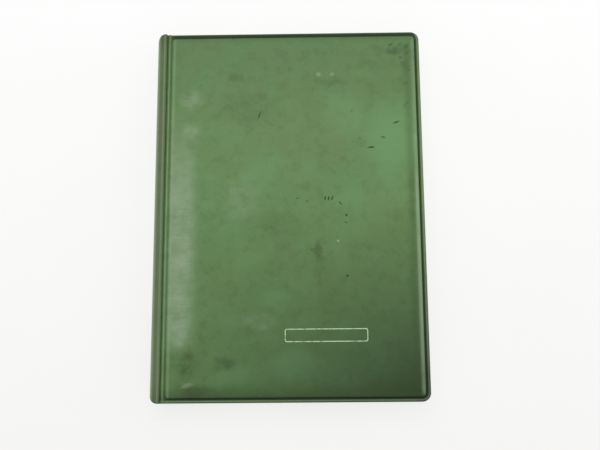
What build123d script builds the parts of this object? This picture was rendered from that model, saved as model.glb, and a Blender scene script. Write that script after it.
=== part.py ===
from build123d import *
from math import sqrt
import os

# A bound page block in a closed, heat-welded vinyl cover that lies on its back face.
# +X runs from the spine to the fore edge, +Y to the head and +Z up. All sizes are in millimetres.

# Leaves and bound block
page_width = 148.0
page_height = 210.0
card_thickness = 0.6
endpaper_thickness = 0.3
section_count = 10
section_thickness = 1.08
leaf_gap = 0.02          # air between neighbouring leaves and sections
section_back_round = 0.4  # rounding of a section's folded back

# Cover sheets
film_thickness = 0.35    # outer film
lining_thickness = 0.25  # inner film, also used for the pockets
board_thickness = 1.8
sheet_gap = 0.05         # between a cover sheet and the next thing lying on it
block_clearance = 0.35   # between the front pocket and the front card

# Cover outline
square = 1.1             # how far a board stands out past the pages at the head and tail
fore_square = 2.6        # the same at the fore edge
rim_width = 2.2          # welded rim outside the board
corner_radius = 5.0
bead_width = 0.9         # raised bead along the edge of the rim
bead_height = 0.7
bead_round = 0.25
board_edge_round = 0.8
pocket_width = 72.0

# Hinge channels and spine
hinge_offset = 2.6       # from the backs of the sections to the channel
channel_width = 2.8
channel_ridge_width = 0.8
channel_ridge_height = 0.6
spine_bulge = 6.0        # how far the spine film stands out from the channel
hinge_gap = 0.3          # between the spine film and the front cover that swings
swing_reach = 8.4        # from the channel out to the line that the front cover swings about
floor_lift = 0.1         # the spine film stays this much inside both outer faces
spine_notch_length = 5.0
spine_notch_width = 4.6

# Blank title panel pressed into the front film
panel_length = 46.5
panel_height = 7.4
panel_line = 0.45
panel_depth = 0.12
panel_corner = 1.2
panel_from_fore_edge = 57.3
panel_from_tail = 36.8

# Sewing and spine linings
thread_diameter = 0.4
thread_gap = 0.05
stitch_rows = 6
stitch_row_spacing = 34.0
spine_strip_thickness = 0.25
spine_strip_gap = 0.04
spine_strip_margin = 6.0
spine_strip_setback = 0.5  # spine linings end this much below the top of the block
spine_strip_lift = 1.9     # and start this much above the spine lining that curves in under them
band_diameter = 1.3

# Heights, worked out from the stack of sheets
cover_thickness = film_thickness + board_thickness + lining_thickness
block_bottom = cover_thickness + sheet_gap
back_pocket_bottom = block_bottom + card_thickness + sheet_gap
back_endpaper_bottom = back_pocket_bottom + lining_thickness + sheet_gap
first_section_bottom = back_endpaper_bottom + endpaper_thickness + leaf_gap
section_pitch = section_thickness + leaf_gap
front_endpaper_bottom = first_section_bottom + section_count * section_pitch
front_card_bottom = front_endpaper_bottom + endpaper_thickness + leaf_gap
block_top = front_card_bottom + card_thickness
front_inner_face = block_top + block_clearance + lining_thickness + sheet_gap
total_thickness = front_inner_face + cover_thickness

# Places across the book, with the frame's origin under the middle of its outer box
total_width = spine_bulge - hinge_offset + page_width + fore_square + rim_width
fore_edge = total_width / 2
back_of_sections = fore_edge - rim_width - fore_square - page_width
channel_left = back_of_sections + hinge_offset
channel_right = channel_left + channel_width
board_left = channel_right + film_thickness
board_right = fore_edge - rim_width
cover_half_height = page_height / 2 + square + rim_width
board_half_height = page_height / 2 + square

# Height at which the outermost strip on the backs of the sections starts
spine_sheets = film_thickness + sheet_gap + lining_thickness
strip_reach = hinge_offset + thread_gap + thread_diameter + 2 * (spine_strip_gap + spine_strip_thickness)
spine_inner_reach = spine_bulge - spine_sheets
spine_inner_flat = total_thickness / 2 - floor_lift - spine_bulge
strip_half = spine_inner_flat + sqrt(spine_inner_reach**2 - strip_reach**2)
strip_bottom = total_thickness / 2 - strip_half + spine_strip_lift


def outline(left, right, half_height, radius):
    # Rectangle with rounded corners on the fore edge side only.
    face = Pos((left + right) / 2, 0) * Rectangle(right - left, 2 * half_height)
    return fillet(face.vertices().group_by(Axis.X)[-1], radius)


def sheet(face, bottom, thickness):
    return Pos(0, 0, bottom) * extrude(face, thickness)


def block_sheet(bottom, thickness):
    corner = (back_of_sections, -page_height / 2, bottom)
    box = Box(page_width, page_height, thickness, align=(Align.MIN, Align.MIN, Align.MIN))
    return Pos(*corner) * box


def cover_outline(left):
    return outline(left, fore_edge, cover_half_height, corner_radius)


def board():
    face = outline(board_left, board_right, board_half_height, corner_radius - rim_width)
    return sheet(face, lining_thickness, board_thickness)


def bead(left):
    inner = outline(left - 1, fore_edge - bead_width, cover_half_height - bead_width,
                    corner_radius - bead_width)
    ring = sheet(cover_outline(left) - inner, lining_thickness, bead_height)
    return fillet(ring.edges().group_by(Axis.Z)[-1], bead_round)


def channel_ridge():
    middle = channel_left + hinge_gap + (channel_width - hinge_gap) / 2
    length = 2 * (cover_half_height - rim_width)
    ridge = Box(channel_ridge_width, length, channel_ridge_height,
                align=(Align.CENTER, Align.CENTER, Align.MIN))
    return Pos(middle, 0, lining_thickness) * ridge


def raised_panel():
    # The film stands up over the board, and its upper edge is rounded.
    face = outline(board_left - film_thickness, board_right + film_thickness,
                   board_half_height + film_thickness,
                   corner_radius - rim_width + film_thickness)
    block = sheet(face, lining_thickness, board_thickness + film_thickness)
    return fillet(block.edges().group_by(Axis.Z)[-1], board_edge_round)


def outer_film(left):
    # Outer sheet of one cover, with its inner face at height 0 and its outer face up.
    flange = sheet(cover_outline(left), lining_thickness, film_thickness)
    return flange + bead(left) + channel_ridge() + raised_panel() - board()


def title_panel():
    centre = Pos(fore_edge - panel_from_fore_edge, panel_from_tail - cover_half_height)
    outer = RectangleRounded(panel_length, panel_height, panel_corner)
    inner = RectangleRounded(panel_length - 2 * panel_line, panel_height - 2 * panel_line,
                             panel_corner - panel_line)
    return sheet(centre * (outer - inner), cover_thickness - panel_depth, 2 * panel_depth)


def lining(left):
    return sheet(cover_outline(left), 0, lining_thickness)


def front_cover(shape):
    return Pos(0, 0, front_inner_face) * shape


def back_cover(shape):
    return Pos(0, 0, cover_thickness) * mirror(shape, about=Plane.XY)


def front_pocket():
    face = outline(fore_edge - pocket_width, fore_edge, cover_half_height, corner_radius)
    return sheet(face, -lining_thickness, lining_thickness)


def back_pocket():
    # A flat film over the back card, closed down to the lining at the head, tail and fore edge.
    left = fore_edge - pocket_width
    outer = outline(left, fore_edge, cover_half_height, corner_radius)
    inner = outline(left - 1, fore_edge - rim_width, board_half_height, corner_radius - rim_width)
    top = sheet(outer, back_pocket_bottom, lining_thickness)
    wall = sheet(outer - inner, cover_thickness, back_pocket_bottom - cover_thickness)
    return top + wall


def spine_section(inset):
    # Half slot left of the hinge line, a constant distance inside the spine's outer face.
    half = total_thickness / 2 - floor_lift - inset
    reach = spine_bulge - inset
    whole = SlotOverall(2 * half, 2 * reach, rotation=90)
    return whole & Pos(-reach / 2, 0) * Rectangle(reach, 2 * half)


def spine_sheet(inset, thickness, leg_drop):
    # Curved sheet between the two channels, with a short leg down to each channel's floor.
    half = total_thickness / 2 - floor_lift - inset
    band = spine_section(inset) - spine_section(inset + thickness)
    leg = Rectangle(thickness, leg_drop, align=(Align.MAX, Align.MAX))
    legs = Pos(-inset, half) * leg + Pos(-inset, -half + leg_drop) * leg
    cut = Pos(-inset, 0) * Rectangle(spine_bulge, 2 * half, align=(Align.MAX, Align.CENTER))
    profile = (band & cut) + legs
    at_hinge = Plane((channel_left, cover_half_height, total_thickness / 2),
                     x_dir=(1, 0, 0), z_dir=(0, -1, 0))
    return extrude(at_hinge * profile, 2 * cover_half_height) - spine_notches()


def spine_notches():
    # The spine's two ends are cut back towards its outermost line.
    outermost = channel_left - spine_bulge
    edge = outermost - 1
    face = Polyline((edge, 0), (outermost, 0),
                    (outermost + spine_notch_width, spine_notch_length),
                    (outermost + spine_notch_width, spine_notch_length + 1),
                    (edge, spine_notch_length + 1), close=True)
    wedge = extrude(make_face(face), total_thickness)
    tail_to_head = Pos(0, cover_half_height - spine_notch_length, 0) * wedge
    return tail_to_head + mirror(tail_to_head, about=Plane.XZ)


def section(index):
    # Section 1 is the uppermost.
    bottom = front_endpaper_bottom - index * section_pitch
    folded = block_sheet(bottom, section_thickness)
    back_edges = folded.edges().filter_by(Axis.Y).group_by(Axis.X)[0]
    return fillet(back_edges, section_back_round)


def sewing_thread():
    bottom = first_section_bottom
    length = block_top - spine_strip_setback - bottom
    stitch = Cylinder(thread_diameter / 2, length, align=(Align.CENTER, Align.CENTER, Align.MIN))
    x = back_of_sections - thread_gap - thread_diameter / 2
    first = -(stitch_rows - 1) / 2 * stitch_row_spacing
    return Compound(children=[
        Pos(x, first + row * stitch_row_spacing, bottom) * stitch for row in range(stitch_rows)])


def spine_strip(order):
    # Strips glued over the sewn backs: 0 is the open-weave cloth, 1 is the kraft paper over it.
    inner = thread_gap + thread_diameter + spine_strip_gap
    right = back_of_sections - inner - order * (spine_strip_thickness + spine_strip_gap)
    height = block_top - spine_strip_setback - strip_bottom
    length = page_height - 2 * spine_strip_margin
    strip = Box(spine_strip_thickness, length, height, align=(Align.MAX, Align.CENTER, Align.MIN))
    return Pos(right, 0, strip_bottom) * strip


def page_end_band(side):
    # A rolled band across the backs of the sections, just past the ends of the pages.
    height = block_top - spine_strip_setback - first_section_bottom
    roll = Cylinder(band_diameter / 2, height, align=(Align.CENTER, Align.CENTER, Align.MIN))
    y = side * (page_height / 2 + sheet_gap + band_diameter / 2)
    return Pos(back_of_sections, y, first_section_bottom) * roll


def parts():
    swinging_left = channel_left + hinge_gap
    named = {
        "back_outer_film": back_cover(outer_film(channel_left)),
        "back_board": back_cover(board()),
        "back_lining": back_cover(lining(channel_left)),
        "back_pocket": back_pocket(),
        "spine_film": spine_sheet(0, film_thickness, cover_thickness - lining_thickness - floor_lift),
        "spine_lining": spine_sheet(film_thickness + sheet_gap, lining_thickness,
                                    cover_thickness - film_thickness - sheet_gap - floor_lift),
        "front_outer_film": front_cover(outer_film(swinging_left) - title_panel()),
        "front_board": front_cover(board()),
        "front_lining": front_cover(lining(swinging_left)),
        "front_pocket": front_cover(front_pocket()),
        "back_card": block_sheet(block_bottom, card_thickness),
        "back_endpaper": block_sheet(back_endpaper_bottom, endpaper_thickness),
        "front_endpaper": block_sheet(front_endpaper_bottom, endpaper_thickness),
        "front_card": block_sheet(front_card_bottom, card_thickness),
        "sewing_thread": sewing_thread(),
        "spine_mull": spine_strip(0),
        "spine_kraft": spine_strip(1),
        "head_band": page_end_band(1),
        "tail_band": page_end_band(-1),
    }
    for index in range(1, section_count + 1):
        named[f"section_{index:02d}"] = section(index)
    return named


os.makedirs("parts", exist_ok=True)
for name, shape in parts().items():
    export_step(shape, f"parts/{name}.step")
print(f"outer box {total_width:.2f} x {2 * cover_half_height:.2f} x {total_thickness:.2f} mm")
print(f"cover axis x {channel_left - swing_reach:.3f} z {total_thickness / 2:.3f}")
print(f"leaf axis x {back_of_sections:.3f} z {block_top:.3f}")
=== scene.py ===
import math
import random

import bmesh
import bpy
from mathutils import Matrix, Vector


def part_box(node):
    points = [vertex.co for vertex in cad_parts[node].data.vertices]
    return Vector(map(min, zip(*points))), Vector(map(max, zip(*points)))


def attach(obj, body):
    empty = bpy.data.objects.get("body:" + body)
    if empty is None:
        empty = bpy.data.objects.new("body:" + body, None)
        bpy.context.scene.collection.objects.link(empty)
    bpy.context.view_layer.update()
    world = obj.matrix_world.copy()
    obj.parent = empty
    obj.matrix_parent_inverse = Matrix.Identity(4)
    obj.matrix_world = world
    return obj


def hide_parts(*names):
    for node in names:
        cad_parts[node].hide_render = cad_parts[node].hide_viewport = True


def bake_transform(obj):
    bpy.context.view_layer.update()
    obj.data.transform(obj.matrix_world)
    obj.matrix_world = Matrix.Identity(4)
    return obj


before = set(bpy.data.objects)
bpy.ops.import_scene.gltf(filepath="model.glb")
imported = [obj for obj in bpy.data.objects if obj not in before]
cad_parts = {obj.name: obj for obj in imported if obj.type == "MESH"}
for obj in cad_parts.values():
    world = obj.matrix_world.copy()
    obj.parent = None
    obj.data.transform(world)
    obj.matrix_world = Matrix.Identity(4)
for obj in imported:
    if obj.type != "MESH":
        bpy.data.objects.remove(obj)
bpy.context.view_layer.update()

mm = 0.001
random.seed(21)

filmLow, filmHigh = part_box("front_outer_film")
boardLow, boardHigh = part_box("front_board")
backFilmLow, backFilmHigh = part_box("back_outer_film")
backBoardLow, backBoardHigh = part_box("back_board")
spineLow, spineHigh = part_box("spine_film")
liningLow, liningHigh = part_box("front_lining")
pocketLow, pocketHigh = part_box("front_pocket")
bookTop = filmHigh.z
halfHeight = filmHigh.y
foreEdge = filmHigh.x
tailEdge = filmLow.y
hingeX = spineHigh.x


def startMaterial(name, roughness=0.5):
    material = bpy.data.materials.new(name)
    material.use_nodes = True
    tree = material.node_tree
    surface = tree.nodes["Principled BSDF"]
    surface.inputs["Roughness"].default_value = roughness
    place = tree.nodes.new("ShaderNodeTexCoord").outputs["Object"]
    return material, tree, surface, place


def setInput(tree, socket, value):
    if isinstance(value, bpy.types.NodeSocket):
        tree.links.new(value, socket)
    elif socket.type == "RGBA" and len(value) == 3:
        socket.default_value = (*value, 1)
    else:
        socket.default_value = value


def stretch(tree, place, scale=(1, 1, 1), turn=(0, 0, 0)):
    mapping = tree.nodes.new("ShaderNodeMapping")
    mapping.inputs["Scale"].default_value = scale
    mapping.inputs["Rotation"].default_value = turn
    tree.links.new(place, mapping.inputs["Vector"])
    return mapping.outputs["Vector"]


def cloud(tree, place, scale, detail=4, roughness=0.55, output="Fac"):
    noise = tree.nodes.new("ShaderNodeTexNoise")
    noise.inputs["Scale"].default_value = scale
    noise.inputs["Detail"].default_value = detail
    noise.inputs["Roughness"].default_value = roughness
    tree.links.new(place, noise.inputs["Vector"])
    return noise.outputs[output]


def sums(tree, operation, a, b=0.0):
    node = tree.nodes.new("ShaderNodeMath")
    node.operation = operation
    setInput(tree, node.inputs[0], a)
    setInput(tree, node.inputs[1], b)
    return node.outputs[0]


def vectorSums(tree, operation, a, b):
    node = tree.nodes.new("ShaderNodeVectorMath")
    node.operation = operation
    setInput(tree, node.inputs[0], a)
    setInput(tree, node.inputs[1], b)
    return node.outputs["Vector"]


def remap(tree, value, low, high, toLow=0.0, toHigh=1.0):
    # eases from toLow to toHigh as the value goes from low to high; low may be the larger
    node = tree.nodes.new("ShaderNodeMapRange")
    node.interpolation_type = "SMOOTHSTEP"
    setInput(tree, node.inputs["Value"], value)
    node.inputs["From Min"].default_value = low
    node.inputs["From Max"].default_value = high
    node.inputs["To Min"].default_value = toLow
    node.inputs["To Max"].default_value = toHigh
    return node.outputs["Result"]


def ramp(tree, value, low, high, toLow=0.0, toHigh=1.0):
    result = remap(tree, value, low, high, toLow, toHigh)
    result.node.interpolation_type = "LINEAR"
    return result


def blendColour(tree, share, a, b):
    node = tree.nodes.new("ShaderNodeMix")
    node.data_type = "RGBA"
    setInput(tree, node.inputs["Factor"], share)
    setInput(tree, node.inputs[6], a)
    setInput(tree, node.inputs[7], b)
    return node.outputs[2]


def addBump(tree, surface, heights):
    # heights holds pairs of a height and how far it stands up in metres
    normal = None
    for height, distance in heights:
        bump = tree.nodes.new("ShaderNodeBump")
        bump.inputs["Strength"].default_value = 1.0
        bump.inputs["Distance"].default_value = distance
        tree.links.new(height, bump.inputs["Height"])
        if normal is not None:
            tree.links.new(normal, bump.inputs["Normal"])
        normal = bump.outputs["Normal"]
    tree.links.new(normal, surface.inputs["Normal"])


def axisOf(tree, place, axis):
    split = tree.nodes.new("ShaderNodeSeparateXYZ")
    tree.links.new(place, split.inputs[0])
    return split.outputs[axis]


def attributeOf(tree, name):
    node = tree.nodes.new("ShaderNodeAttribute")
    node.attribute_name = name
    return node.outputs["Fac"]


def wobble(tree, place, scale, reach):
    # the same place, pushed about, so that what is drawn there gets ragged edges
    push = vectorSums(tree, "SUBTRACT", cloud(tree, place, scale, 6, 0.65, "Color"), (0.5, 0.5, 0.5))
    return vectorSums(tree, "ADD", place, vectorSums(tree, "MULTIPLY", push, (reach, reach, 0)))


def spot(tree, place, fromFore, fromTail, width, height, turn):
    # a soft blob on the front cover, sizes in millimetres, 1 in the middle and 0 at its rim
    centre = (foreEdge - fromFore * mm, tailEdge + fromTail * mm, bookTop)
    mapping = tree.nodes.new("ShaderNodeMapping")
    mapping.vector_type = "TEXTURE"
    mapping.inputs["Location"].default_value = centre
    mapping.inputs["Rotation"].default_value = (0, 0, math.radians(turn))
    mapping.inputs["Scale"].default_value = (width / 2 * mm, height / 2 * mm, 1)
    tree.links.new(place, mapping.inputs["Vector"])
    length = tree.nodes.new("ShaderNodeVectorMath")
    length.operation = "LENGTH"
    tree.links.new(mapping.outputs["Vector"], length.inputs[0])
    return remap(tree, length.outputs["Value"], 1.0, 0.2)


def spots(tree, place, marks):
    # each mark is its place from the fore edge and the tail, its width and height, turn and strength
    total = None
    for *where, strength in marks:
        mark = sums(tree, "MULTIPLY", spot(tree, place, *where), strength)
        total = mark if total is None else sums(tree, "MAXIMUM", total, mark)
    return total


def srgb(red, green, blue):
    def linear(value):
        value = value / 255
        return value / 12.92 if value <= 0.04045 else ((value + 0.055) / 1.055) ** 2.4
    return linear(red), linear(green), linear(blue)


vinyl = {
    "green": srgb(89, 124, 73),
    "olive": srgb(92, 121, 71),
    "bright": srgb(98, 138, 88),
    "rubbed": srgb(140, 156, 128),
    "stainAndShade": srgb(40, 58, 20),
    "mark": srgb(20, 34, 16),
    # the next two are painted light: shade for grooves and shaded edges, and a highlight for crests and
    # ridges
    "paintedShade": srgb(22, 38, 14),
    "crest": srgb(146, 166, 136),
    "darkened": srgb(4, 32, 0),
    "dust": srgb(106, 108, 88),     # grime worn into the spine
}

# the main marks on the front cover, given to the nearest few millimetres:
# millimetres from the fore edge and from the tail, width, height, turn in degrees, strength
coverMarks = {
    "stainsAndShadow": [
        (15, 205, 35, 8, 0, 0.5), (8, 195, 8, 20, 0, 0.35),             # head corner of the fore edge
        # the second mark on the next line is a painted shadow under the two pale dots
        (110, 190, 15, 10, 0, 0.35), (50, 185, 25, 10, 10, 0.3), (100, 170, 45, 25, 0, 0.25),
        (60, 85, 8, 18, 15, 0.45), (85, 100, 45, 25, 0, 0.2), (5, 120, 8, 60, 0, 0.3),
        (135, 20, 20, 18, 0, 0.6), (115, 20, 15, 10, 10, 0.5), (130, 5, 35, 12, 0, 0.6),
        (20, 10, 50, 15, 0, 0.4),
    ],
    "pale": [
        (135, 175, 20, 15, 0, 0.4), (135, 155, 18, 15, 0, 0.4), (140, 80, 14, 20, 0, 0.45),
        (140, 35, 12, 10, 0, 0.5), (135, 10, 10, 4, 20, 0.35), (95, 45, 25, 12, 0, 0.2),
        (105, 115, 30, 40, 0, 0.2),
    ],
    "dots": [
        (60, 190, 4, 4, 0, 0.5), (52, 190, 4, 3, 0, 0.4), (50, 90, 2, 2, 0, 0.9),
    ],
    "fresh": [
        (20, 150, 45, 70, 0, 0.75), (95, 130, 30, 40, 0, 0.3), (40, 110, 50, 60, 0, 0.25),
        (85, 55, 30, 20, 0, 0.55), (110, 45, 25, 15, 0, 0.4), (75, 20, 45, 20, 0, 0.8),
        (110, 15, 30, 10, 0, 0.6), (20, 65, 40, 50, 0, 0.15), (45, 165, 35, 45, 0, 0.5),
    ],
    "scuffs": [
        (57, 115, 1.5, 4, -15, 1.0), (55, 115, 1.5, 4, -10, 1.0), (53, 115, 1.5, 4, -20, 0.9),
        (45, 105, 2, 2, 0, 1.0), (45, 70, 2, 2, 0, 1.0), (65, 85, 1.5, 1.5, 0, 0.8),
        (30, 145, 6, 1.5, 5, 1.0), (15, 160, 6, 1.3, 20, 1.0), (95, 165, 1.3, 8, -20, 0.8),
    ],
    # where small scuffs are scattered: middle, width and height of the area, and how many
    "scuffAreas": [(15, 207, 16, 5, 4), (9, 185, 5, 40, 6), (60, 108, 30, 16, 4), (35, 155, 30, 25, 3)],
}


def scatteredScuffs():
    scatter = random.Random(5)
    marks = []
    for fromFore, fromTail, width, height, count in coverMarks["scuffAreas"]:
        for _ in range(count):
            marks.append((fromFore + scatter.uniform(-0.5, 0.5) * width,
                          fromTail + scatter.uniform(-0.5, 0.5) * height,
                          scatter.uniform(2, 5), scatter.uniform(0.8, 1.4),
                          scatter.uniform(-50, 50), scatter.uniform(0.4, 0.8)))
    return marks


def vinylMaterial(name, front, dust=0.0):
    # green vinyl, clouded with use, darkened near some edges by stains mixed with painted shade, with
    # painted shade in its grooves and painted highlights on its ridges
    material, tree, surface, place = startMaterial(name, 0.42)
    broad = cloud(tree, place, 20, 4, 0.5)
    patchy = cloud(tree, place, 58, 4, 0.55)
    mottle = cloud(tree, place, 190, 4, 0.6)
    colour = blendColour(tree, remap(tree, broad, 0.36, 0.64), vinyl["green"], vinyl["olive"])
    colour = blendColour(tree, remap(tree, patchy, 0.42, 0.7, 0.0, 0.4), colour, vinyl["bright"])
    colour = blendColour(tree, remap(tree, mottle, 0.45, 0.72, 0.0, 0.18), colour, vinyl["stainAndShade"])
    if front:
        colour = frontMarks(tree, place, colour)
    if dust:
        grime = remap(tree, mottle, 0.2, 0.7, dust, dust * 0.6)
        colour = blendColour(tree, grime, colour, vinyl["dust"])
    ragged = remap(tree, patchy, 0.25, 0.6, 0.6, 1.0)
    # stains mixed with painted shade near the tail and the fore edge
    colour = blendColour(tree, sums(tree, "MULTIPLY", attributeOf(tree, "stainAndShade"), ragged), colour,
                         vinyl["stainAndShade"])
    # painted highlight on crests, ridges and the spine's back
    colour = blendColour(tree, sums(tree, "MULTIPLY", attributeOf(tree, "crest"), ragged), colour,
                         vinyl["crest"])
    # painted shade in grooves and along edges that turn away from the light
    colour = blendColour(tree, attributeOf(tree, "paintedShade"), colour, vinyl["paintedShade"])
    tree.links.new(colour, surface.inputs["Base Color"])
    tree.links.new(remap(tree, patchy, 0.3, 0.7, 0.38, 0.5), surface.inputs["Roughness"])
    surface.inputs["Specular IOR Level"].default_value = 0.28
    grain = cloud(tree, place, 1900, 3, 0.6)
    dents = cloud(tree, place, 70, 3, 0.5)
    addBump(tree, surface, [(dents, 0.0004), (grain, 0.00004)])
    return material


def frontMarks(tree, place, colour):
    across, along = axisOf(tree, place, 0), axisOf(tree, place, 1)
    drifting = wobble(tree, place, 42, 24 * mm)
    ragged = wobble(tree, place, 700, 0.9 * mm)
    colour = blendColour(tree, spots(tree, drifting, coverMarks["fresh"]), colour, vinyl["bright"])
    colour = blendColour(tree, broadDarkening(tree, across, along), colour, vinyl["darkened"])
    colour = blendColour(tree, rubbedBand(tree, place), colour, vinyl["rubbed"])
    patches = remap(tree, cloud(tree, place, 130, 5, 0.7), 0.38, 0.6, 0.3, 1.0)
    # stains, and one painted shadow under the pale dots
    stainsAndShadow = sums(tree, "MULTIPLY", spots(tree, drifting, coverMarks["stainsAndShadow"]), patches)
    colour = blendColour(tree, stainsAndShadow, colour, vinyl["stainAndShade"])
    pale = sums(tree, "MULTIPLY", spots(tree, wobble(tree, place, 120, 9 * mm), coverMarks["pale"]), patches)
    colour = blendColour(tree, pale, colour, vinyl["rubbed"])
    colour = blendColour(tree, spots(tree, ragged, coverMarks["dots"]), colour, vinyl["rubbed"])
    scuffs = spots(tree, ragged, coverMarks["scuffs"] + scatteredScuffs())
    return blendColour(tree, scuffs, colour, vinyl["mark"])


darkening = {
    "start": 5,              # the tail half darkens from here down, in millimetres from the middle
    "hingeShare": 0.22,      # how far at the hinge
    "foreShare": 0.93,       # and at the fore edge
    "head": (50, 95),        # the head darkens between these
    "headShare": 0.15,
}


def broadDarkening(tree, across, along):
    # the cover is darker towards the lower fore edge corner, and a little darker towards the head
    side = ramp(tree, across, boardLow.x, boardHigh.x, darkening["hingeShare"], darkening["foreShare"])
    down = sums(tree, "MULTIPLY", ramp(tree, along, darkening["start"] * mm, tailEdge), side)
    low, high = darkening["head"]
    return sums(tree, "MAXIMUM", down, ramp(tree, along, low * mm, high * mm, 0.0, darkening["headShare"]))


rubbed = {                   # ends of the rubbed place beside the hinge, each easing from none to full
    "hinge": (-3, 4),        # millimetres from the board's edge
    "fore": (19, 9),
    "head": (64, 8),         # millimetres from the middle of the cover
    "tail": (-84, -66),
}


def rubbedBand(tree, place):
    # the long pale place beside the hinge, crossed by fine scratches
    drifting = wobble(tree, place, 60, 5 * mm)
    side = sums(tree, "SUBTRACT", axisOf(tree, drifting, 0), boardLow.x)
    height = axisOf(tree, drifting, 1)
    band = None
    for end, value in (("hinge", side), ("fore", side), ("head", height), ("tail", height)):
        none, full = rubbed[end]
        share = remap(tree, value, none * mm, full * mm)
        band = share if band is None else sums(tree, "MULTIPLY", band, share)
    scratches = cloud(tree, stretch(tree, place, (90, 1900, 90)), 1.0, 4, 0.75)
    scratches = remap(tree, scratches, 0.3, 0.7, 0.6, 1.0)
    patches = remap(tree, cloud(tree, place, 110, 4, 0.6), 0.3, 0.65, 0.45, 0.85)
    return sums(tree, "MULTIPLY", band, sums(tree, "MULTIPLY", scratches, patches))


def foilMaterial():
    # thin pale foil, rubbed away in places
    material, tree, surface, place = startMaterial("rubbedFoil", 0.45)
    worn = remap(tree, cloud(tree, place, 420, 4, 0.7), 0.5, 0.68)
    tree.links.new(blendColour(tree, worn, srgb(178, 204, 170), srgb(96, 130, 86)),
                   surface.inputs["Base Color"])
    tree.links.new(ramp(tree, worn, 0, 1, 0.2, 0.0), surface.inputs["Metallic"])
    return material


cover = {
    "fine": 0.24 * mm,        # spacing of the mesh lines near edges and hinge
    "coarse": 1.9 * mm,       # and over the middle of the board
    "growth": 0.22,
    "fineReach": 4.4 * mm,    # how far in from the edges the lines stay close
    "fineFore": 4.6 * mm,
    "corner": 5.0 * mm,
    "bead": 1.9 * mm,         # width of the welded bead along the edge
    "beadRise": 0.5 * mm,
    "beadStart": 0.14,        # share of the bead's arch that its outer end leaves out
    "beadPower": 0.8,         # under 1, so that the arch is a little square
    "lip": 0.4 * mm,          # the outermost edge drops this far
    "grooveEnd": 2.9 * mm,
    "groove": 0.2 * mm,
    "wall": 0.35 * mm,
    "lining": 0.25 * mm,      # the cover's inner face lies this much inside the film
    "flange": 0.6 * mm,       # outer face of the rim above the cover's inner face
    "round": 1.3 * mm,        # rounding of the film over the board's edge
    "boardInset": 0.7 * mm,   # the film leaves the groove this far inside the board's nominal edge
    "boardPress": 0.45 * mm,  # and the board is worn thinner under it, by this much
    "boardCorner": 2.4 * mm,
    "boardRound": 0.85 * mm,
    "pillow": 9.0 * mm,       # the film's swell over the board reaches this far in
    "pillowShare": 0.2,
    "channelLift": 0.5 * mm,
    "channelEnd": 3.0 * mm,   # the lift dies out this near the head and tail
    "ridge": 0.75 * mm,
    "ridgeMargin": 0.15,      # share of the channel that is left on each side of its ridge
}


def spacedLines(low, high, stretches, size):
    # mesh lines from low to high, close together inside the stretches (start, end, step)
    lines = [low]
    while lines[-1] < high:
        place = lines[-1]
        steps = [size["coarse"]]
        for start, end, fine in stretches:
            away = max(start - place, place - end, 0.0)
            steps.append(fine + size["growth"] * away)
        lines.append(place + min(steps))
    share = (high - low) / (lines[-1] - low)
    return [low + (place - low) * share for place in lines]


def gridPiece(columns, rows):
    # flat grid whose lines stand at the given places
    mesh = bmesh.new()
    bmesh.ops.create_grid(mesh, x_segments=len(columns) - 1, y_segments=len(rows) - 1, size=1)
    for vertex in mesh.verts:
        column = round((vertex.co.x + 1) / 2 * (len(columns) - 1))
        row = round((vertex.co.y + 1) / 2 * (len(rows) - 1))
        vertex.co = (columns[column], rows[row], 0)
    return mesh


def makeObject(name, mesh, material, smooth=True):
    data = bpy.data.meshes.new(name)
    mesh.to_mesh(data)
    mesh.free()
    piece = bpy.data.objects.new(name, data)
    bpy.context.scene.collection.objects.link(piece)
    data.materials.append(material)
    for face in data.polygons:
        face.use_smooth = smooth
    return piece


def solidify(piece, thickness, offset):
    wall = piece.modifiers.new("wall", "SOLIDIFY")
    wall.thickness = thickness
    wall.offset = offset


def roundCorners(mesh, right, half, radius):
    # squares of the grid at the two fore edge corners become quarter discs with the same rings
    for vertex in mesh.verts:
        side = 1 if vertex.co.y > 0 else -1
        across = vertex.co.x - (right - radius)
        along = abs(vertex.co.y) - (half - radius)
        if across <= 0 or along <= 0:
            continue
        reach = max(across, along)
        angle = math.pi / 4 * min(across, along) / reach
        angle = angle if across >= along else math.pi / 2 - angle
        vertex.co.x = right - radius + reach * math.cos(angle)
        vertex.co.y = side * (half - radius + reach * math.sin(angle))


def insideRounded(x, y, low, high, radius):
    # distance inside a rounded rectangle, negative outside
    across = abs(x - (low.x + high.x) / 2) - (high.x - low.x) / 2 + radius
    along = abs(y - (low.y + high.y) / 2) - (high.y - low.y) / 2 + radius
    outside = math.hypot(max(across, 0), max(along, 0))
    return radius - outside - min(max(across, along), 0)


def ease(value):
    value = min(max(value, 0.0), 1.0)
    return value * value * (3 - 2 * value)


def hump(value, centre, reach):
    # 1 at the centre, easing to 0 at reach away, all in millimetres
    return ease(1 - abs(value / mm - centre) / reach)


def filmHeight(x, toEdge, low, inPanel, channel, rise):
    # height of the film's outer face above the cover's inner face
    size = cover
    height = size["flange"]
    if toEdge < size["bead"]:
        share = max(toEdge, 0) / size["bead"]
        arch = min(1, size["beadStart"] + share * (1 - size["beadStart"]))
        height += size["beadRise"] * math.sin(math.pi * arch) ** size["beadPower"]
        height -= size["lip"] * (1 - ease(share * 5))
    elif toEdge < size["grooveEnd"]:
        share = (toEdge - size["bead"]) / (size["grooveEnd"] - size["bead"])
        height -= size["groove"] * math.sin(math.pi * share)
    if inPanel > 0:
        roll = math.sqrt(1 - (1 - min(1, inPanel / size["round"])) ** 2)
        swell = ease(inPanel / size["pillow"])
        return height + rise * (roll * (1 - size["pillowShare"]) + swell * size["pillowShare"])
    share = (x - low.x) / channel
    if share < 1:
        arch = (share - size["ridgeMargin"]) / (1 - 2 * size["ridgeMargin"])
        height += size["channelLift"] * ease(toEdge / size["channelEnd"])
        height += size["ridge"] * math.sin(math.pi * min(max(arch, 0), 1))
    return height


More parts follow.
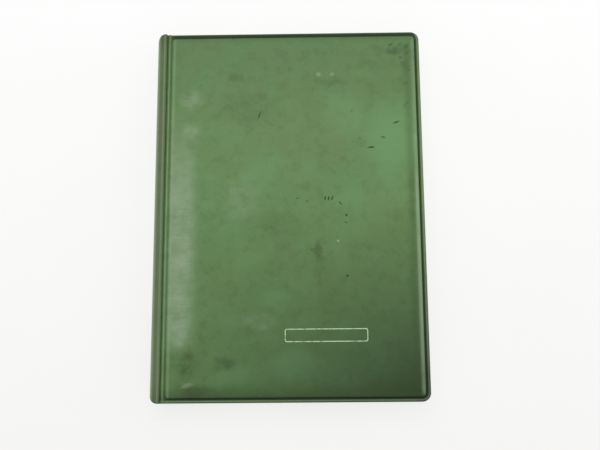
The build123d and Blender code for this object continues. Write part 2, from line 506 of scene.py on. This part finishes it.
filmLines = {                        # millimetres from the edge or hinge, half width, strength
    "weldShade": (2.4, 1.0, 1.0),
    "headShade": (1.3, 1.7, 0.85),
    "foreShade": (1.9, 1.0, 0.5),
    "hingeShade": (0.1, 0.4, 0.3),
    "channelShade": (2.45, 0.5, 0.2),
    "foreHighlight": (4.0, 1.9, 1.0),
    "beadHighlight": (1.1, 0.7, 0.3),
    "ridgeHighlight": (1.4, 0.7, 0.3),
    "boardHighlight": (4.3, 1.4, 0.25),
    "foreDarkBand": (7.5, 3.5, 0.3),
}

filmFades = {                        # full up to this many millimetres, then gone over so many, strength
    "rimShade": (0, 0.5, 0.9),
    "channelRimShade": (0, 0.6, 0.9),
    "channel": (1, 3, 1.0),
    "tailShade": (2, 9, 0.65),
    "headStain": (2.4, 5, 0.35),
    "foreHighlightGain": (0, 70, 0.32),        # these two run along the fore edge, measured from the cover's middle
    "foreHighlightLoss": (-90, 50, 0.15),
}


def lineStrength(value, line):
    centre, reach, strength = line
    return strength * hump(value, centre, reach)


def fadeStrength(value, fade):
    full, reach, strength = fade
    return strength * ease(1 - (value / mm - full) / reach)


def filmShadingAndStain(x, y, toEdge, low, high):
    # painted shade, painted highlight, and stain mixed with painted shade on the film there, 0 to 1 each
    lines, fades = filmLines, filmFades
    toFore, toTail, toHead = high.x - x, y - low.y, high.y - y
    fore = ease((min(toTail, toHead) - toFore) / cover["corner"] + 0.5)
    tail = (1 - fore) * (toTail < toHead)
    head = (1 - fore) * (toHead <= toTail)
    hinge = x - low.x
    # painted shade in the weld groove, on the outer edge where it turns down, along the head rim and fore
    # edge, and in the hinge channel
    paintedShade = max(lineStrength(toEdge, lines["weldShade"]), fadeStrength(toEdge, fades["rimShade"]),
                 head * lineStrength(toEdge, lines["headShade"]),
                 fore * lineStrength(toEdge, lines["foreShade"]))
    if hinge < 6 * mm:
        paintedShade *= 1 - fadeStrength(hinge, fades["channel"])
        paintedShade = max(paintedShade, fadeStrength(toEdge, fades["channelRimShade"]),
                     lineStrength(hinge, lines["hingeShade"]), lineStrength(hinge, lines["channelShade"]))
    # the painted highlight on the fore edge is stronger on the tail half, and weaker again near the tail
    highlightStrength = 0.25 + fadeStrength(y, fades["foreHighlightGain"]) - fadeStrength(y, fades["foreHighlightLoss"])
    # painted highlight on the fore edge's roll, the bead, the hinge ridge and the board's edge
    crest = max(fore * highlightStrength * lineStrength(toEdge, lines["foreHighlight"]),
                (fore + tail) * lineStrength(toEdge, lines["beadHighlight"]),
                lineStrength(hinge, lines["ridgeHighlight"]), lineStrength(hinge, lines["boardHighlight"]))
    # painted shade near the tail, a darker band inside the fore edge, and a stain along the head
    stainAndShade = max(tail * fadeStrength(toEdge, fades["tailShade"]), head * fadeStrength(toEdge, fades["headStain"]),
                fore * lineStrength(toEdge, lines["foreDarkBand"]))
    return paintedShade, crest, stainAndShade


title = {
    "centre": (foreEdge - 57.3 * mm, tailEdge + 36.8 * mm),
    "length": 46.5 * mm,
    "height": 7.4 * mm,
    "corner": 1.2 * mm,
    "line": 0.5 * mm,
    "press": 0.1 * mm,
    "step": 0.16 * mm,        # spacing of the mesh lines near the frame
    "margin": 0.3 * mm,
    "foil": 0.03 * mm,
    "sink": 0.025 * mm,       # the foil's face lies this far under the top of the cover
}


def titleStretches(middle, length):
    size = title
    reach = size["corner"] + 0.1 * mm
    low, high = middle - length / 2, middle + length / 2
    return [(low - size["margin"], low + reach, size["step"]),
            (high - reach, high + size["margin"], size["step"])]


def titlePress(x, y):
    # depth of the pressed frame of the blank title panel
    size = title
    half = Vector((size["length"] / 2, size["height"] / 2, 0))
    centre = Vector((*size["centre"], 0))
    fromLine = abs(insideRounded(x, y, centre - half, centre + half, size["corner"]) - size["line"] / 2)
    return size["press"] * (1 - ease((fromLine - size["line"] * 0.45) / (size["line"] * 0.6)))


def titleLine(material):
    # the foil that lines the pressed frame, left blank inside
    size = title
    mesh = bmesh.new()
    bmesh.ops.create_grid(mesh, x_segments=1, y_segments=1, size=0.5)
    bmesh.ops.scale(mesh, verts=mesh.verts, vec=(size["length"], size["height"], 1))
    bmesh.ops.bevel(mesh, geom=mesh.verts[:], offset=size["corner"], affect="VERTICES", segments=6,
                    profile=0.5, material=-1)
    bmesh.ops.inset_region(mesh, faces=mesh.faces[:], thickness=size["line"],
                           use_boundary=True, use_even_offset=True)
    middle = max(mesh.faces, key=lambda face: face.calc_area())
    bmesh.ops.delete(mesh, geom=[middle], context="FACES")
    bmesh.ops.translate(mesh, verts=mesh.verts, vec=(*size["centre"], bookTop - size["sink"]))
    piece = makeObject("titlePanelLine", mesh, material, False)
    solidify(piece, size["foil"], -1)
    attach(piece, "front_cover")


def coverFilm(name, node, low, high, board, upward, material, body):
    size = cover
    reach = size["fineReach"]
    acrossStretches = [(low.x, low.x + reach, size["fine"]),
                       (high.x - size["fineFore"], high.x, size["fine"])]
    alongStretches = [(low.y, low.y + reach, size["fine"]), (high.y - reach, high.y, size["fine"])]
    if upward:
        acrossStretches += titleStretches(title["centre"][0], title["length"])
        alongStretches += titleStretches(title["centre"][1], title["height"])
    mesh = gridPiece(spacedLines(low.x, high.x, acrossStretches, size),
                     spacedLines(low.y, high.y, alongStretches, size))
    roundCorners(mesh, high.x, high.y, size["corner"])
    # painted shade, painted highlight, and stain mixed with painted shade, kept on each vertex
    layers = [mesh.verts.layers.float.new(key) for key in ("paintedShade", "crest", "stainAndShade")]
    inset = size["boardInset"] - size["wall"]
    panelLow = board[0] + Vector((-size["wall"], inset, 0))
    panelHigh = board[1] - Vector((inset, inset, 0))
    openLow = Vector((low.x - 1, low.y, 0))     # far away, because the hinge side has no rim
    total = high.z - low.z + size["lining"]
    for vertex in mesh.verts:
        x, y = vertex.co.x, vertex.co.y
        toEdge = insideRounded(x, y, openLow, high, size["corner"])
        inPanel = insideRounded(x, y, panelLow, panelHigh, size["boardCorner"])
        height = filmHeight(x, toEdge, low, inPanel, panelLow.x - low.x, total - size["flange"])
        height -= titlePress(x, y) if upward else 0
        vertex.co.z = high.z - total + height if upward else low.z + total - height
        for layer, value in zip(layers, filmShadingAndStain(x, y, toEdge, low, high)):
            vertex[layer] = value
    if not upward:
        bmesh.ops.reverse_faces(mesh, faces=mesh.faces)
    piece = makeObject(name, mesh, material)
    solidify(piece, size["wall"], -1)
    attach(piece, body)
    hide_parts(node)


spine = {
    "wall": 0.35 * mm,
    "liningWall": 0.25 * mm,
    "setback": 0.4 * mm,      # of the lining behind the film
    "endRound": 5.2 * mm,     # rounding of the ends, seen from the front
    "endLength": 14 * mm,
    "crest": 1.15 * mm,       # the front and back edges of the spine stand this far from the hinge
    "foot": 0.28 * mm,        # the film's foot closes the gap beside the front cover
    "backFoot": -0.02 * mm,
    "footDepth": 1.8 * mm,
    "footShare": 0.2,         # the foot ends here along half of the section, from 0 to 1
    "roundShare": 0.8,        # and the quarter round here
    "flare": 1.2 * mm,        # the quarter round is this much taller than wide
    "blend": 2.3 * mm,        # the bend starts and ends this far inside the spine's height
    "segments": 64,
    "rows": {"coarse": 3.0 * mm, "growth": 0.2},
    "endRows": (6.0 * mm, 0.4 * mm),
    "crestHighlight": (1.2, 0.6, 0.3),        # painted highlight, painted shade and darkening, as on the cover film
    "shoulder": (3.2, 2.4, 1.0),
    "hingeShade": (0, 0.4, 0.15),
    "endShade": (0, 0.9, 0.85),
    "endStain": (0, 14, 0.25),
}


def spineProfile(share, reach, half, side):
    # one half of the spine's section: a foot that rises to the crest, a quarter round, and the flat back
    size = spine
    foot = size["foot"] if side > 0 else size["backFoot"]
    first, second = size["footShare"], size["roundShare"]
    if share < first:
        angle = math.pi / 2 * share / first
        x = foot - (size["crest"] + foot) * (1 - math.cos(angle))
        return x, half - size["footDepth"] * (1 - math.sin(angle))
    radius = reach - size["crest"]
    tall = radius + size["flare"]
    if share < second:
        angle = math.pi / 2 * (share - first) / (second - first)
        return -size["crest"] - radius * math.sin(angle), half - tall * (1 - math.cos(angle))
    return -reach, (half - tall) * (1 - share) / (1 - second)


def spineShadingAndStain(x, toEnd):
    # the flat back is lightened as a painted reflection, the hinge line and the ends get painted shade,
    # and the shoulders and ends are darker
    size = spine
    back = 1 - fadeStrength(-x, size["shoulder"])
    # painted shade along the hinge line and at the ends
    paintedShade = max(fadeStrength(-x, size["hingeShade"]), fadeStrength(toEnd, size["endShade"]))
    # painted reflection: the flat back is lightened with the crest colour, and the crest line gets a
    # painted highlight
    crest = max(0.6 * back, lineStrength(-x, size["crestHighlight"]))
    return paintedShade, crest, 0.3 * (1 - back) + fadeStrength(toEnd, size["endStain"])


def spineSheet(name, node, setback, wall, material):
    size = spine
    middle = (spineLow.z + spineHigh.z) / 2
    half = (spineHigh.z - spineLow.z) / 2 - setback
    reach = hingeX - spineLow.x - 2 * setback
    nearEnd, fine = size["endRows"]
    ends = [(spineLow.y, spineLow.y + nearEnd, fine), (spineHigh.y - nearEnd, spineHigh.y, fine)]
    rows = spacedLines(spineLow.y, spineHigh.y, ends, size["rows"])
    mesh = gridPiece([i / size["segments"] for i in range(size["segments"] + 1)], rows)
    # painted shade, painted highlight, and stain mixed with painted shade, kept on each vertex
    layers = [mesh.verts.layers.float.new(key) for key in ("paintedShade", "crest", "stainAndShade")]
    for vertex in mesh.verts:
        side = -1 if vertex.co.x < 0.5 else 1
        x, z = spineProfile(1 - abs(vertex.co.x * 2 - 1), reach, half, side)
        into = max(-x - (reach - size["endRound"]), 0)
        cut = size["endRound"] - math.sqrt(max(size["endRound"] ** 2 - into ** 2, 0))
        toEnd = spineHigh.y - abs(vertex.co.y)
        pulled = cut * max(0, 1 - toEnd / size["endLength"])
        y = math.copysign(abs(vertex.co.y) - pulled, vertex.co.y)
        vertex.co = (hingeX - setback + x, y, middle + side * z)
        for layer, value in zip(layers, spineShadingAndStain(x, toEnd)):
            vertex[layer] = value
    bmesh.ops.recalc_face_normals(mesh, faces=mesh.faces)
    piece = makeObject(name, mesh, material)
    solidify(piece, wall, -1)
    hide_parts(node)
    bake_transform(piece)


def liningMaterial(name, colour, low, high, mouth):
    # smooth inner vinyl with its knurled weld round the edge, and a folded hem at a pocket's mouth
    material, tree, surface, place = startMaterial(name, 0.4)
    across, along = axisOf(tree, place, 0), axisOf(tree, place, 1)
    toFore = sums(tree, "SUBTRACT", high.x, across)
    toEnd = sums(tree, "SUBTRACT", high.y, sums(tree, "ABSOLUTE", along))
    weld = remap(tree, sums(tree, "MINIMUM", toFore, toEnd), 2.4 * mm, 2.0 * mm)
    if mouth:
        hem = remap(tree, sums(tree, "SUBTRACT", across, low.x), 3.4 * mm, 3.0 * mm)
        weld = sums(tree, "MAXIMUM", weld, hem)
    diagonal = sums(tree, "MULTIPLY", sums(tree, "ADD", across, along), 1800)
    knurl = sums(tree, "MULTIPLY", sums(tree, "ABSOLUTE", sums(tree, "SINE", diagonal)), weld)
    tone = cloud(tree, place, 34, 4)
    darker = tuple(value * 0.8 for value in colour)
    lighter = tuple(min(value * 1.35 + 0.01, 1) for value in colour)
    mixed = blendColour(tree, remap(tree, tone, 0.35, 0.65), colour, darker)
    mixed = blendColour(tree, sums(tree, "MULTIPLY", weld, 0.5), mixed, lighter)
    tree.links.new(mixed, surface.inputs["Base Color"])
    tree.links.new(remap(tree, weld, 0, 1, 0.42, 0.3), surface.inputs["Roughness"])
    addBump(tree, surface, [(tone, 0.0012), (cloud(tree, place, 900, 3), 0.00003), (knurl, 0.00008)])
    return material


def paperMaterial(name, colour, foxing=0.25, flecks=0.1):
    material, tree, surface, place = startMaterial(name, 0.85)
    surface.inputs["Specular IOR Level"].default_value = 0.2
    tone = cloud(tree, place, 30, 5, 0.6)
    fibre = cloud(tree, stretch(tree, place, (700, 2400, 700)), 1.0, 3, 0.7)
    yellow = (colour[0] * 0.9, colour[1] * 0.82, colour[2] * 0.62)
    mixed = blendColour(tree, remap(tree, tone, 0.4, 0.7, 0, 0.3), colour, yellow)
    mixed = blendColour(tree, remap(tree, fibre, 0.5, 0.8, 0, flecks * 3), mixed, yellow)
    age = remap(tree, cloud(tree, place, 240, 2, 0.5), 0.68, 0.78, 0, foxing)
    mixed = blendColour(tree, age, mixed, srgb(150, 108, 60))
    if name == "ledgerPaper":
        mixed = ledgerRuling(tree, place, mixed)
    tree.links.new(mixed, surface.inputs["Base Color"])
    addBump(tree, surface, [(fibre, 0.00003)])
    return material


ledger = {
    "pitch": 6.5,                                          # between the rows, in millimetres
    "columns": (14, 30, 52, 62, 72, 86, 100, 112, 124),    # from the fold
    "left": 8,                                             # ends of the rows, from the fold
    "right": 140,
    "heading": (84, 85.2, 95),                             # from the middle of the page
    "foot": -97,
    "row": srgb(120, 146, 178),
    "column": srgb(176, 104, 96),
}


def between(tree, value, low, high):
    # 1 from low to high, with a sharp edge
    return sums(tree, "MULTIPLY", remap(tree, value, low, low + 0.1 * mm),
                remap(tree, value, high, high - 0.1 * mm))


def ruledLines(tree, value, places, half):
    # thin lines at the given places
    lines = None
    for line in places:
        away = sums(tree, "ABSOLUTE", sums(tree, "SUBTRACT", value, line))
        mark = remap(tree, away, half, half / 2)
        lines = mark if lines is None else sums(tree, "MAXIMUM", lines, mark)
    return lines


def ledgerRuling(tree, place, paperColour):
    # rows and ruled columns of a blank log page, with a double line under the heading space
    size = ledger
    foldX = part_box("section_01")[0].x
    across, along = axisOf(tree, place, 0), axisOf(tree, place, 1)
    width = between(tree, across, foldX + size["left"] * mm, foldX + size["right"] * mm)
    steps = sums(tree, "FRACT", sums(tree, "DIVIDE", sums(tree, "ADD", along, 1.0), size["pitch"] * mm))
    rows = remap(tree, sums(tree, "ABSOLUTE", sums(tree, "SUBTRACT", steps, 0.5)), 0.03, 0.015)
    rows = sums(tree, "MULTIPLY", rows, between(tree, along, size["foot"] * mm, size["heading"][0] * mm))
    rows = sums(tree, "MULTIPLY", rows, width)
    mixed = blendColour(tree, sums(tree, "MULTIPLY", rows, 0.7), paperColour, size["row"])
    columns = ruledLines(tree, across, [foldX + column * mm for column in size["columns"]], 0.2 * mm)
    columns = sums(tree, "MULTIPLY", columns,
                   between(tree, along, size["foot"] * mm, size["heading"][-1] * mm))
    heading = ruledLines(tree, along, [line * mm for line in size["heading"]], 0.24 * mm)
    heading = sums(tree, "MULTIPLY", heading, width)
    lines = sums(tree, "MULTIPLY", sums(tree, "MAXIMUM", columns, heading), 0.75)
    return blendColour(tree, lines, mixed, size["column"])


def wave(tree, place, axis, rate):
    return sums(tree, "SINE", sums(tree, "MULTIPLY", axisOf(tree, place, axis), rate))


def wovenMaterial(name, colour, warp, weft, depth):
    # open cloth or twisted thread: fine ribs across two directions
    material, tree, surface, place = startMaterial(name, 0.9)
    along, upward = wave(tree, place, 1, weft), wave(tree, place, 2, warp)
    ribs = sums(tree, "MULTIPLY", sums(tree, "ABSOLUTE", along), sums(tree, "ABSOLUTE", upward))
    darker = tuple(value * 0.45 for value in colour)
    uneven = remap(tree, cloud(tree, place, 300, 4, 0.6), 0.3, 0.7, 0.0, 0.35)
    mixed = blendColour(tree, remap(tree, ribs, 0.1, 0.6), darker, colour)
    tree.links.new(blendColour(tree, uneven, mixed, darker), surface.inputs["Base Color"])
    addBump(tree, surface, [(ribs, depth)])
    return material


def bandMaterial():
    # headband cloth, striped in two colours
    material, tree, surface, place = startMaterial("stripedBand", 0.75)
    stripes = wave(tree, place, 2, 3600)
    mixed = blendColour(tree, remap(tree, stripes, -0.2, 0.2), srgb(226, 218, 190), srgb(54, 92, 66))
    tree.links.new(mixed, surface.inputs["Base Color"])
    threads = sums(tree, "ABSOLUTE", wave(tree, place, 2, 16000))
    addBump(tree, surface, [(threads, 0.00006)])
    return material


block = {
    "sheets": 4,              # folded sheets in each section
    "leaf": 0.11 * mm,
    "trim": 0.22 * mm,        # unevenness of the fore edge
    "ends": 0.12 * mm,        # and of the head and tail
    "margin": 0.15 * mm,
    "foldRound": 0.9,         # spacing of the folds inside each other, in pitches
}


def foldedSection(name, node, body, material):
    low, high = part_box(node)
    size = block
    mesh = bmesh.new()
    pitch = (high.z - low.z) / (2 * size["sheets"])
    middle = (low.z + high.z) / 2
    for sheet in range(size["sheets"]):
        offset = (sheet + 0.5) * pitch
        fold = low.x + (size["sheets"] - 1 - sheet) * pitch * size["foldRound"]
        ends = random.uniform(-size["ends"], size["ends"])
        chain = []
        for side in (-1, 1):
            reach = high.x - random.uniform(0, 1) * size["trim"] - fold - offset
            shares = (1.0, 0.75, 0.5, 0.25, 0.1, 0.0)
            run = [(fold + offset + reach * share, middle + side * offset) for share in shares]
            chain += run if side < 0 else run[::-1]
            if side < 0:
                chain += [(fold + offset - offset * math.sin(angle), middle - offset * math.cos(angle))
                          for angle in (math.pi / 4, math.pi / 2, 3 * math.pi / 4)]
        points = [mesh.verts.new((x, low.y - ends + size["margin"], z)) for x, z in chain]
        edges = [mesh.edges.new(pair) for pair in zip(points, points[1:])]
        pushed = bmesh.ops.extrude_edge_only(mesh, edges=edges)["geom"]
        moved = [item for item in pushed if isinstance(item, bmesh.types.BMVert)]
        bmesh.ops.translate(mesh, verts=moved, vec=(0, high.y - low.y - 2 * size["margin"], 0))
    bmesh.ops.recalc_face_normals(mesh, faces=mesh.faces)
    piece = makeObject(name, mesh, material)
    solidify(piece, size["leaf"], 0)
    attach(piece, body)
    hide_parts(node)


def boardPiece(name, node, body, outward, material):
    # grey board with its edges rubbed round, so that the film lies over it
    low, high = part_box(node)
    inset = cover["boardInset"]
    high = high - Vector((inset, inset, cover["boardPress"] * outward))
    low = low + Vector((0, inset, cover["boardPress"] * (1 - outward)))
    mesh = bmesh.new()
    bmesh.ops.create_cube(mesh, size=1)
    bmesh.ops.scale(mesh, verts=mesh.verts, vec=high - low)
    bmesh.ops.translate(mesh, verts=mesh.verts, vec=(high + low) / 2)
    upright = [edge for edge in mesh.edges if abs(edge.verts[0].co.z - edge.verts[1].co.z) > 1 * mm]
    bmesh.ops.bevel(mesh, geom=upright, offset=cover["boardCorner"], affect="EDGES", segments=6,
                    profile=0.5, material=-1)
    rims = [edge for edge in mesh.edges if abs(edge.verts[0].co.z - edge.verts[1].co.z) < 0.1 * mm
            and len(edge.link_faces) == 2 and edge.calc_face_angle() > 0.6]
    bmesh.ops.bevel(mesh, geom=rims, offset=cover["boardRound"], affect="EDGES", segments=4,
                    profile=0.5, material=-1)
    piece = makeObject(name, mesh, material)
    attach(piece, body)
    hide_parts(node)


def giveMaterial(node, material):
    for slot in bpy.data.objects[node].material_slots:
        slot.material = material


print("covers")
frontVinyl = vinylMaterial("wornGreenVinyl", True)
backVinyl = vinylMaterial("greenVinyl", False)
coverFilm("frontCoverFilm", "front_outer_film", filmLow, filmHigh, (boardLow, boardHigh),
          True, frontVinyl, "front_cover")
coverFilm("backCoverFilm", "back_outer_film", backFilmLow, backFilmHigh, (backBoardLow, backBoardHigh),
          False, backVinyl, "back_cover_and_block")
titleLine(foilMaterial())
greyBoard = paperMaterial("greyBoard", srgb(140, 135, 126), 0.0, 0.3)
boardPiece("frontBoard", "front_board", "front_cover", 1, greyBoard)
boardPiece("backBoard", "back_board", "back_cover_and_block", 0, greyBoard)

print("spine and linings")
liningVinyl = liningMaterial("liningVinyl", srgb(62, 92, 62), liningLow, liningHigh, False)
pocketVinyl = liningMaterial("pocketVinyl", srgb(74, 106, 72), pocketLow, pocketHigh, True)
spineVinyl = vinylMaterial("spineVinyl", False, 0.62)
spineSheet("spineFilm", "spine_film", 0.0, spine["wall"], spineVinyl)
spineSheet("spineLining", "spine_lining", spine["setback"], spine["liningWall"], liningVinyl)
giveMaterial("front_lining", liningVinyl)
giveMaterial("back_lining", liningVinyl)
giveMaterial("front_pocket", pocketVinyl)
giveMaterial("back_pocket", pocketVinyl)

print("page block")
ledgerPaper = paperMaterial("ledgerPaper", srgb(236, 231, 214))
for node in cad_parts:
    if node.startswith("section_"):
        number = int(node[-2:])
        body = f"{node}_leaves" if number <= 4 else "back_cover_and_block"
        foldedSection(f"foldedSheets{number:02d}", node, body, ledgerPaper)
endPaper = paperMaterial("endPaper", srgb(226, 219, 198), 0.5)
buffCard = paperMaterial("buffCard", srgb(196, 178, 136), 0.2, 0.25)
giveMaterial("front_card", buffCard)
giveMaterial("back_card", buffCard)
giveMaterial("front_endpaper", endPaper)
giveMaterial("back_endpaper", endPaper)
giveMaterial("sewing_thread", wovenMaterial("linenThread", srgb(214, 204, 176), 9000, 7000, 0.00006))
giveMaterial("spine_mull", wovenMaterial("openMull", srgb(222, 216, 198), 2600, 2600, 0.0001))
giveMaterial("spine_kraft", paperMaterial("kraftPaper", srgb(164, 126, 84), 0.1, 0.35))
giveMaterial("head_band", bandMaterial())
giveMaterial("tail_band", bandMaterial())


floor = {
    "far": (0.97, 0.975, 0.97),
    "near": (0.885, 0.88, 0.865),
    "glow": 0.84,
}


def floorMaterial():
    # a pale board that glows softly like a light table, a little duller at the near side
    material, tree, surface, place = startMaterial("paleFloor", 0.9)
    tone = ramp(tree, axisOf(tree, place, 1), 0.13, -0.19)
    mottled = cloud(tree, place, 9, 3)
    shade = blendColour(tree, tone, floor["far"], floor["near"])
    shade = blendColour(tree, remap(tree, mottled, 0.3, 0.7, 0.0, 0.02), shade, (0.5, 0.5, 0.5))
    tree.links.new(shade, surface.inputs["Emission Color"])
    surface.inputs["Base Color"].default_value = (0.16, 0.16, 0.155, 1)
    surface.inputs["Emission Strength"].default_value = floor["glow"]
    surface.inputs["Specular IOR Level"].default_value = 0.0
    return material


lights = {
    "headLight": {"place": (-0.1, 0.55, 0.95), "size": (0.7, 0.5), "power": 2.5},
    "sideLight": {"place": (0.9, 0.1, 0.5), "size": (0.5, 0.6), "power": 2.0},
}

sky = {"colour": (0.98, 0.99, 1, 1), "strength": 0.85}


def softbox(name, place, size, power):
    light = bpy.data.lights.new(name, "AREA")
    light.shape = "RECTANGLE"
    light.size, light.size_y = size
    light.energy = power
    lamp = bpy.data.objects.new(name, light)
    lamp.location = place
    lamp.rotation_euler = (-Vector(place)).to_track_quat("-Z", "Y").to_euler()
    bpy.context.scene.collection.objects.link(lamp)


def studio():
    mesh = bmesh.new()
    bmesh.ops.create_grid(mesh, x_segments=1, y_segments=1, size=3)
    makeObject("floor", mesh, floorMaterial(), False)
    world = bpy.data.worlds.new("studio")
    world.use_nodes = True
    world.node_tree.nodes["Background"].inputs["Color"].default_value = sky["colour"]
    world.node_tree.nodes["Background"].inputs["Strength"].default_value = sky["strength"]
    bpy.context.scene.world = world
    for name, light in lights.items():
        softbox(name, **light)
    bpy.context.scene.view_settings.view_transform = "Standard"
    bpy.context.scene.view_settings.look = "None"


view = {
    "place": (0.0133, -0.1007, 0.4955),
    "tilt": 10.9,        # degrees away from straight down, towards the head
    "lean": 0.8,
    "roll": 0.6,
    "lens": 51,          # on a sensor 36 mm wide
}


def setCamera():
    camera = bpy.data.cameras.new("camera")
    camera.sensor_width = 36
    camera.lens = view["lens"]
    eye = bpy.data.objects.new("camera", camera)
    tilt, lean, roll = (math.radians(view[key]) for key in ("tilt", "lean", "roll"))
    worldToEye = (Matrix.Rotation(roll, 3, "Z") @ Matrix.Rotation(-lean, 3, "Y")
                  @ Matrix.Rotation(-tilt, 3, "X"))
    eye.matrix_world = Matrix.Translation(view["place"]) @ worldToEye.transposed().to_4x4()
    camera.clip_start = 0.01
    bpy.context.scene.collection.objects.link(eye)
    bpy.context.scene.camera = eye


print("studio")
studio()
setCamera()
